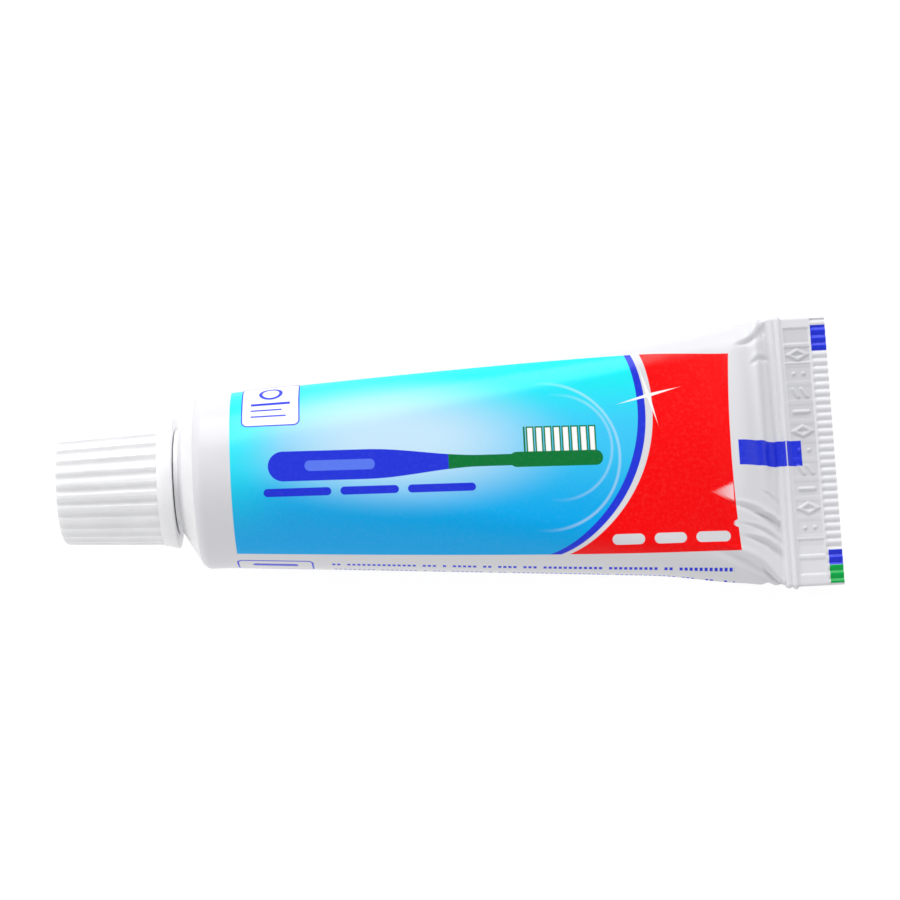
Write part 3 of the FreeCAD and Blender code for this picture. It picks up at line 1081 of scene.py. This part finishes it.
    def relief(self, x: float, v: float) -> float:
        """Gives how far the sheet stands off its plain form: creases, the jaws' marks and the lap seam.

        Args:
            x: Place along the tube.
            v: Place round it.

        Returns:
            The height off the plain form.
        """
        height = 0.0
        if self.creased_from < x < self.fold + 0.3:
            height += sum(crease.height(x, v) for crease in self.folds)
        if x >= self.fold - 0.6:
            height += self.crimp(x - self.fold, v)
        seam = (math.pi * self.radius - abs(v) - self.seam_offset) / self.seam_width
        if abs(seam) < 3 and x < self.fold:
            height -= self.seam_depth * math.exp(-seam * seam)
        return height

    def crimp(self, ahead: float, v: float) -> float:
        """Gives the relief of the sealed tail at a place past the fold.

        Args:
            ahead: Place past the fold.
            v: Place round the sleeve.

        Returns:
            The height off the plain form.
        """
        top = abs(v) < math.pi / 2 * (self.radius - self.wall)
        height = -self.groove_depth * math.exp(-((ahead / self.groove_width) ** 2))
        height += self.step_height * smooth(ahead, 0.3, 0.6) * (1 - smooth(ahead, 0.85, 1.15))
        gap = abs(ahead - self.bead) / self.bead_half
        if gap < 1:
            height += self.bead_height * math.sqrt(1 - gap * gap)
        if ahead > self.rib_start - 0.15:
            shift = 0.25 if top else -0.25
            phase = (v / self.rib_pitch + shift) % 1.0
            groove = 0.5 + 0.5 * math.cos(2 * math.pi * phase)
            height -= self.rib_depth * groove**1.5 * smooth(ahead, self.rib_start - 0.1, self.rib_start + 0.1)
        elif top and self.type_start < ahead < self.type_end:
            height += self.type_mark(ahead, v)
        return height

    def type_mark(self, ahead: float, v: float) -> float:
        """Gives the relief of one recess: a shallow floor with a plain raised mark on some.

        Args:
            ahead: Place past the fold.
            v: Place round the sleeve.

        Returns:
            The height off the plain form.
        """
        reach = self.type_count / 2 * self.type_pitch
        if abs(v) > reach:
            return 0.0
        cell = math.floor((v + reach) / self.type_pitch)
        across = (v + reach) - (cell + 0.5) * self.type_pitch
        along = ahead - (self.type_start + self.type_end) / 2
        inside = min(self.type_width / 2 - abs(across), (self.type_end - self.type_start) / 2 - abs(along))
        floor = -self.type_depth * smooth(inside, 0.0, 0.15)
        if 1 < cell < self.type_count - 2:
            shoulder = (self.type_end - self.type_start) / 2 - abs(along)
            floor = min(floor, -self.type_sink * self.type_depth * smooth(shoulder, 0.0, 0.15))
        marked = 1 < cell < self.type_count - 1
        mark = JawMark(cell * 3 % 4).distance(along, across) if marked else 1.0
        return floor + self.mark_height * (1 - smooth(mark, 0.10, 0.30))


class JawMark(Enum):
    """The plain shapes raised in the recesses of the tail, with their sizes in millimetres."""

    BAR = 0
    LOZENGE = 1
    STUDS = 2
    SLANTED_BARS = 3

    def distance(self, along: float, across: float) -> float:
        """Gives how far a place in the recess lies from the shape's middle line.

        Args:
            along: Along the tube, from the recess's middle.
            across: Across it.

        Returns:
            The distance in millimetres.
        """
        if self is JawMark.BAR:
            return math.hypot(max(abs(along) - 0.9, 0.0), across)
        if self is JawMark.LOZENGE:
            return abs(abs(along) * 0.55 + abs(across) - 0.58) * 0.88
        if self is JawMark.STUDS:
            return math.hypot(abs(along) - 0.6, across)
        slanted = abs(along + across * 0.6) - 0.55
        return math.hypot(slanted * 0.86, max(abs(across) - 0.45, 0.0))


def arc_points(
    centre_x: float, centre_r: float, radius: float, start: float, end: float, steps: int
) -> list[tuple[float, float]]:
    """Gives points of a rounding in a turned profile.

    Args:
        centre_x: Its centre along the axis.
        centre_r: Its centre's distance from the axis.
        radius: Its radius.
        start: First angle in degrees, counter-clockwise from the axis.
        end: Last angle.
        steps: Equal steps between them.

    Returns:
        Pairs of place along the axis and distance from it.
    """
    angles = [math.radians(start + (end - start) * step / steps) for step in range(steps + 1)]
    return [(centre_x + radius * math.cos(angle), centre_r + radius * math.sin(angle)) for angle in angles]


def turn_profile(profile: Sequence[tuple[float, float]], steps: int) -> bmesh.types.BMesh:
    """Turns a profile round the tube's axis.

    Args:
        profile: Pairs of place along the axis and distance from it.
        steps: Steps in the full turn.

    Returns:
        The turned mesh.
    """
    mesh = bmesh.new()
    verts = [mesh.verts.new((x, 0.0, r)) for x, r in profile]
    edges = [mesh.edges.new(pair) for pair in zip(verts, verts[1:])]
    bmesh.ops.spin(
        mesh,
        geom=verts + edges,
        cent=(0, 0, 0),
        axis=(1, 0, 0),
        angle=2 * math.pi,
        steps=steps,
        use_merge=True,
    )
    bmesh.ops.remove_doubles(mesh, verts=mesh.verts[:], dist=WELD_DISTANCE)
    bmesh.ops.recalc_face_normals(mesh, faces=mesh.faces[:])
    return mesh


@dataclass
class Paste:
    """The toothpaste: it fills the shoulder and the sleeve, and stands in the orifice with a round top."""

    sleeve: Sleeve
    tip: float = -14.35
    tip_rise: float = 0.5
    orifice: float = 2.55
    cone_start: float = -4.47
    skirt: float = 9.65
    skirt_start: float = -0.42
    end: float = 69.8
    columns: int = 160
    inset: float = 0.4  # inside the sleeve's outer face
    inset_by_folds: float = 0.75  # inside the sheet's inner wall where that drops below the creases
    inset_share: float = 0.7  # the most of the sleeve's half thickness that the inset takes
    tip_steps: int = 6
    body_steps: int = 40

    def build(self, material: bpy.types.Material) -> bpy.types.Object:
        """Rolls a grid into the fill and puts it in the tube.

        Args:
            material: Its finish.

        Returns:
            The new object.
        """
        rows = self.rows()
        girth = 2 * math.pi * self.sleeve.radius
        mesh = bmesh.new()
        bmesh.ops.create_grid(mesh, x_segments=len(rows) - 1, y_segments=self.columns, size=0.5)
        for vert in mesh.verts:
            place, radius = rows[round((vert.co.x + 0.5) * (len(rows) - 1))]
            vert.co = self.point(place, radius, vert.co.y * girth)
        bmesh.ops.remove_doubles(mesh, verts=mesh.verts[:], dist=WELD_DISTANCE)
        bmesh.ops.recalc_face_normals(mesh, faces=mesh.faces[:])
        sharpen(mesh, 50)
        piece = finish_piece(mesh, "mint_paste", self.sleeve.tube.matrix(), material)
        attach(piece, Body.TUBE.value)
        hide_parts("toothpaste")
        return piece

    def rows(self) -> list[tuple[float, float | None]]:
        """Lists the grid's rows: a place and a radius, or no radius where the row follows the sleeve.

        Returns:
            The rows in order.
        """
        start = self.sleeve.weld_end
        shares = [step / self.tip_steps for step in range(self.tip_steps + 1)]
        rows = [(self.tip - self.tip_rise * (1 - share**2), self.orifice * share) for share in shares]
        rows += [(self.cone_start, self.orifice), (self.skirt_start, self.skirt), (start, self.skirt)]
        run = self.end - start
        rows += [(start + run * step / self.body_steps, None) for step in range(self.body_steps + 1)]
        return [*rows, (self.end, 0.0)]

    def point(self, place: float, radius: float | None, v: float) -> Vector:
        """Gives a point of the fill's surface.

        Args:
            place: Along the axis.
            radius: The row's radius, or none where it follows the sleeve.
            v: Round the sleeve from its top line.

        Returns:
            The point, about the tube's own axis.
        """
        most = self.inset_share * self.sleeve.side(place)
        if radius is None:
            by_folds = smooth(place, 58.0, 63.0)
            inset = self.inset + (self.inset_by_folds - self.inset) * by_folds
            return self.sleeve.section(place, v, min(inset, most))[0]
        if place == self.end:
            spot = self.sleeve.section(place, v, most)[0]
            return Vector((spot.x, spot.y, 0.0))
        angle = v / self.sleeve.radius
        return Vector((place, radius * math.sin(angle), radius * math.cos(angle)))


@dataclass
class Thread:
    """A right-handed screw thread: one ridge wound about the tube's axis."""

    tube: TubeFrame
    name: str
    body: Body
    slot: Slot
    start: float  # where the ridge starts, nearest the tail
    root: float
    crest: float
    phase: float  # in turns
    lead: float = 3.0
    turns: float = 2.2
    foot: float = 1.3  # the ridge's width at its root
    tip: float = 0.55  # its width at its crest
    sink: float = 0.1  # how far its root goes into the wall
    taper: float = 0.07  # share of the winding over which each end runs out
    steps: int = 200

    def build(self, material: bpy.types.Material) -> bpy.types.Object:
        """Winds the ridge and puts it on its body.

        Args:
            material: Its finish.

        Returns:
            The new object.
        """
        mesh = bmesh.new()
        base = self.root + (-self.sink if self.crest > self.root else self.sink)
        corners = (
            (-self.foot / 2, base),
            (-self.tip / 2, self.crest),
            (self.tip / 2, self.crest),
            (self.foot / 2, base),
        )
        ring = [mesh.verts.new((self.start + along, 0.0, radius)) for along, radius in corners]
        section = mesh.faces.new(ring)
        bmesh.ops.rotate(
            mesh, verts=ring, cent=(0, 0, 0), matrix=Matrix.Rotation(-2 * math.pi * self.phase, 3, "X")
        )
        step = Vector((-self.lead * self.turns / self.steps, 0, 0))
        bmesh.ops.spin(
            mesh,
            geom=[section],
            cent=(0, 0, 0),
            axis=(-1, 0, 0),
            dvec=step,
            angle=2 * math.pi * self.turns,
            steps=self.steps,
        )
        for index, vert in enumerate(mesh.verts):
            share = index // len(ring) / self.steps
            fade = smooth(min(share, 1 - share), 0.0, self.taper)
            reach = math.hypot(vert.co.y, vert.co.z)
            scale = (base + (reach - base) * fade) / reach
            vert.co.y *= scale
            vert.co.z *= scale
        bmesh.ops.recalc_face_normals(mesh, faces=mesh.faces[:])
        sharpen(mesh, 35)
        piece = finish_piece(mesh, self.name, self.tube.matrix(), material)
        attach(piece, self.body.value)
        return piece


@dataclass
class Cap:
    """The screw cap: a tapered cup with round flutes and a plain flange."""

    tube: TubeFrame
    mouth: float = -4.0
    end: float = -18.35
    end_radius: float = 7.1
    end_rounding: float = 0.6
    flute_start: float = -5.8
    body_radius: float = 7.7
    flange_step: float = 0.15
    flange_radius: float = 8.25
    flange_rounding: float = 0.2
    bore_radius: float = 5.6
    bore_chamfer: float = 0.4
    ceiling: float = -16.15
    flute_count: int = 28
    flute_steps: int = 14
    flute_radius: float = 0.62
    flute_depth: float = 0.42
    ridge_rounding: float = 0.10

    def build(self, material: bpy.types.Material) -> bpy.types.Object:
        """Turns the cup, presses the flutes in and puts it on the cap's body.

        Args:
            material: Its finish.

        Returns:
            The new object.
        """
        mesh = turn_profile(self.profile(), self.flute_count * self.flute_steps)
        for vert in mesh.verts:
            self.press_flute(vert)
        bmesh.ops.recalc_face_normals(mesh, faces=mesh.faces[:])
        sharpen(mesh, 40)
        piece = finish_piece(mesh, "fluted_cap", self.tube.matrix(), material)
        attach(piece, Body.CAP.value)
        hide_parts("cap")
        return piece

    def profile(self) -> list[tuple[float, float]]:
        """Gives the cup's profile, from the middle of its closed end round to the middle of its ceiling.

        Returns:
            Pairs of place along the axis and distance from it.
        """
        bend = self.end_rounding
        face = self.end_radius - bend
        rounding = arc_points(self.end + bend, face, bend, 180, 95, 8)
        run = self.flute_start - self.end - bend
        side = [self.end + bend + share * run for share in (0.12, 0.3, 0.5, 0.7, 0.9, 1.0)]
        flange = self.body_radius + self.flange_step
        fillet = self.flange_rounding
        lip = arc_points(self.mouth - fillet, self.flange_radius - fillet, fillet, 85, 0, 4)
        return [
            (self.end, 0.0),
            (self.end, face - 0.5),
            *rounding,
            *((x, self.body_at(x)) for x in side),
            (self.flute_start, flange - 0.06),
            (self.flute_start + 0.06, flange),
            (self.flute_start + 0.7, flange + 0.1),
            *lip,
            (self.mouth, self.bore_radius + self.bore_chamfer),
            (self.mouth - self.bore_chamfer, self.bore_radius),
            (self.ceiling, self.bore_radius),
            (self.ceiling, 0.0),
        ]

    def body_at(self, x: float) -> float:
        """Gives the tapered side's radius over the ridges."""
        share = (x - self.end) / (self.flute_start - self.end)
        return self.end_radius + share * (self.body_radius - self.end_radius)

    def press_flute(self, vert: bmesh.types.BMVert) -> None:
        """Moves a vertex of the outside in to the surface of its flute, where it stands proud of it.

        Args:
            vert: The vertex.
        """
        reach = math.hypot(vert.co.y, vert.co.z)
        if vert.co.x > self.flute_start + 1e-4 or reach < self.bore_radius + 0.5:
            return
        if vert.co.x > self.flute_start - 1e-4 and reach > self.body_radius + 0.01:
            return
        body = self.body_at(vert.co.x)
        turns = math.atan2(vert.co.y, vert.co.z) / (2 * math.pi) * self.flute_count
        across = abs((turns + 0.5) % 1.0 - 0.5) * 2 * math.pi * body / self.flute_count
        centre = body + self.flute_radius - self.flute_depth
        groove = centre - math.sqrt(max(self.flute_radius**2 - across**2, 0.0))
        gap = groove - body
        ease = self.ridge_rounding
        if gap < -ease:
            floor = body + gap - ease
        elif gap < ease:
            floor = body - (ease - gap) ** 2 / (4 * ease)
        else:
            floor = body
        if reach > floor:
            vert.co.y *= floor / reach
            vert.co.z *= floor / reach


@dataclass(frozen=True)
class Lamp:
    """A square soft light that faces the target."""

    name: str
    offset: tuple[float, float, float]  # right, up and away in the picture, in metres
    size: float  # metres along a side
    power: float  # watts


@dataclass
class Studio:
    """The white table top, the soft light from the picture's top and left, and the camera."""

    target: Vector = field(default_factory=lambda: Vector((0.514, 2.658, 6.0)) * MM)
    height: float = math.radians(76.652)
    bearing: float = math.radians(32.512)
    roll: float = math.radians(36.121)
    distance: float = 0.350
    lens: float = 111.329
    sensor_width: float = 36.0
    clip_start: float = 0.01
    floor_size: float = 3.0
    floor_glow: float = 0.44
    floor_seen_glow: float = 0.42  # added where the camera or a reflection sees the floor
    walls_low: float = 0.10  # what a reflection sees at the zenith
    walls_rise: float = 0.95  # added towards the horizon
    room_low: float = 0.27  # the light from the zenith
    room_rise: float = 0.76  # added towards the horizon
    lamps: tuple[Lamp, ...] = (
        Lamp("key", (0.0, 0.50, 0.22), 0.40, 1.9),
        Lamp("left", (-0.40, 0.06, 0.30), 0.30, 0.5),
    )

    def axes(self) -> tuple[Vector, Vector, Vector]:
        """Gives the camera's right, its up and the way from the target to it.

        Returns:
            The three unit vectors.
        """
        flat = Vector((math.sin(self.bearing), -math.cos(self.bearing), 0.0))
        away = flat * math.cos(self.height) + Vector((0, 0, math.sin(self.height)))
        right = (-away).cross(Vector((0, 0, 1))).normalized()
        up = right.cross(-away)
        rolled = right * math.cos(self.roll) - up * math.sin(self.roll)
        return rolled, right * math.sin(self.roll) + up * math.cos(self.roll), away

    def build(self) -> None:
        """Builds the floor, the world, the lights and the camera."""
        self.add_camera()
        self.add_floor()
        self.add_world()
        for lamp in self.lamps:
            self.add_light(lamp)

    def add_camera(self) -> None:
        """Sets the camera as it stood for the photograph."""
        right, up, away = self.axes()
        camera = bpy.data.objects.new("camera", bpy.data.cameras.new("camera"))
        camera.data.lens = self.lens
        camera.data.sensor_width = self.sensor_width
        camera.data.clip_start = self.clip_start
        turn = Matrix((right, up, away)).transposed().to_4x4()
        camera.matrix_world = Matrix.Translation(self.target + away * self.distance) @ turn
        bpy.context.scene.collection.objects.link(camera)
        bpy.context.scene.camera = camera

    def add_light(self, lamp: Lamp) -> None:
        """Hangs a lamp where it faces the target.

        Args:
            lamp: The lamp.
        """
        right, up, away = self.axes()
        place = self.target + right * lamp.offset[0] + up * lamp.offset[1] + away * lamp.offset[2]
        data = bpy.data.lights.new(lamp.name, "AREA")
        data.size = lamp.size
        data.energy = lamp.power
        light = bpy.data.objects.new(lamp.name, data)
        turn = (self.target - place).to_track_quat("-Z", "Y").to_matrix().to_4x4()
        light.matrix_world = Matrix.Translation(place) @ turn
        bpy.context.scene.collection.objects.link(light)

    def add_floor(self) -> None:
        """Lays a white table top that glows just under white, so that only the shadow shows on it."""
        mesh = bmesh.new()
        bmesh.ops.create_grid(mesh, x_segments=1, y_segments=1, size=self.floor_size / 2)
        material = bpy.data.materials.new("white table top")
        material.use_nodes = True
        tree = material.node_tree
        tree.nodes.clear()
        path = add_node(tree, "ShaderNodeLightPath")
        seen = Field(tree, path.outputs["Is Camera Ray"]).most(Field(tree, path.outputs["Is Glossy Ray"]))
        strength = (seen * self.floor_seen_glow + self.floor_glow).socket
        glow = add_node(tree, "ShaderNodeEmission", {"Color": linear("#FFFFFF"), "Strength": strength})
        cloth = add_node(tree, "ShaderNodeBsdfDiffuse", {"Color": linear("#808080")})
        both = add_node(tree, "ShaderNodeAddShader", {0: glow.outputs[0], 1: cloth.outputs[0]})
        add_node(tree, "ShaderNodeOutputMaterial", {"Surface": both.outputs[0]})
        data = bpy.data.meshes.new("table_top")
        mesh.to_mesh(data)
        mesh.free()
        data.materials.append(material)
        table = bpy.data.objects.new("table_top", data)
        bpy.context.scene.collection.objects.link(table)

    def add_world(self) -> None:
        """Fills the room with white for the camera, and with softer light for reflections and the rest."""
        world = bpy.data.worlds.new("white room")
        bpy.context.scene.world = world
        world.use_nodes = True
        tree = world.node_tree
        tree.nodes.clear()
        path = add_node(tree, "ShaderNodeLightPath")
        camera = Field(tree, path.outputs["Is Camera Ray"])
        glossy = Field(tree, path.outputs["Is Glossy Ray"])
        mirror = glossy.most(Field(tree, path.outputs["Is Transmission Ray"]))
        place = add_node(tree, "ShaderNodeTexCoord")
        parts = add_node(tree, "ShaderNodeSeparateXYZ", {"Vector": place.outputs["Generated"]})
        x, z = Field(tree, parts.outputs["X"]), Field(tree, parts.outputs["Z"])
        walls = z.ease(0.95, 0.35) * self.walls_rise + self.walls_low
        room_light = z.ease(0.98, 0.25) * self.room_rise + self.room_low
        sides = x.size() * 0.35 + x * -0.15 + 1.0
        far_ends = x.size().ease(1.0, 0.65) * 0.6 + 0.4
        room_light = room_light * sides * far_ends
        strength = (room_light + mirror * (walls - room_light)).most(camera).socket
        room = add_node(tree, "ShaderNodeBackground", {"Color": linear("#FFFFFF"), "Strength": strength})
        add_node(tree, "ShaderNodeOutputWorld", {"Surface": room.outputs[0]})


def dress(node: str, material: bpy.types.Material) -> None:
    """Gives a CAD node a better finish.

    Args:
        node: The node's name.
        material: Its finish.
    """
    for slot in frame["nodes"][node].material_slots:
        slot.material = material
    log.info("%s dressed in %s", node, material.name)


def main() -> None:
    """Builds the pieces and the studio in order."""
    logging.basicConfig(level=logging.INFO, format="%(message)s")
    bpy.context.scene.view_settings.view_transform = "Standard"
    tube = TubeFrame.of_cap_turn()
    plastic = MouldedPolypropylene().build()
    sleeve = Sleeve(tube)
    sleeve.build()
    Paste(sleeve).build(MintPaste().build())
    Cap(tube).build(plastic)
    Thread(tube, "neck_thread", Body.TUBE, Slot.SHOULDER, -6.2, 4.7, 5.3, 0.0).build(plastic)
    Thread(tube, "cap_thread", Body.CAP, Slot.CAP, -7.7, 5.6, 5.0, 0.0).build(plastic)
    dress("shoulder", plastic)
    dress("cap_liner", FoamedPolyethylene().build())
    Studio().build()


if __name__ == "__main__":
    main()
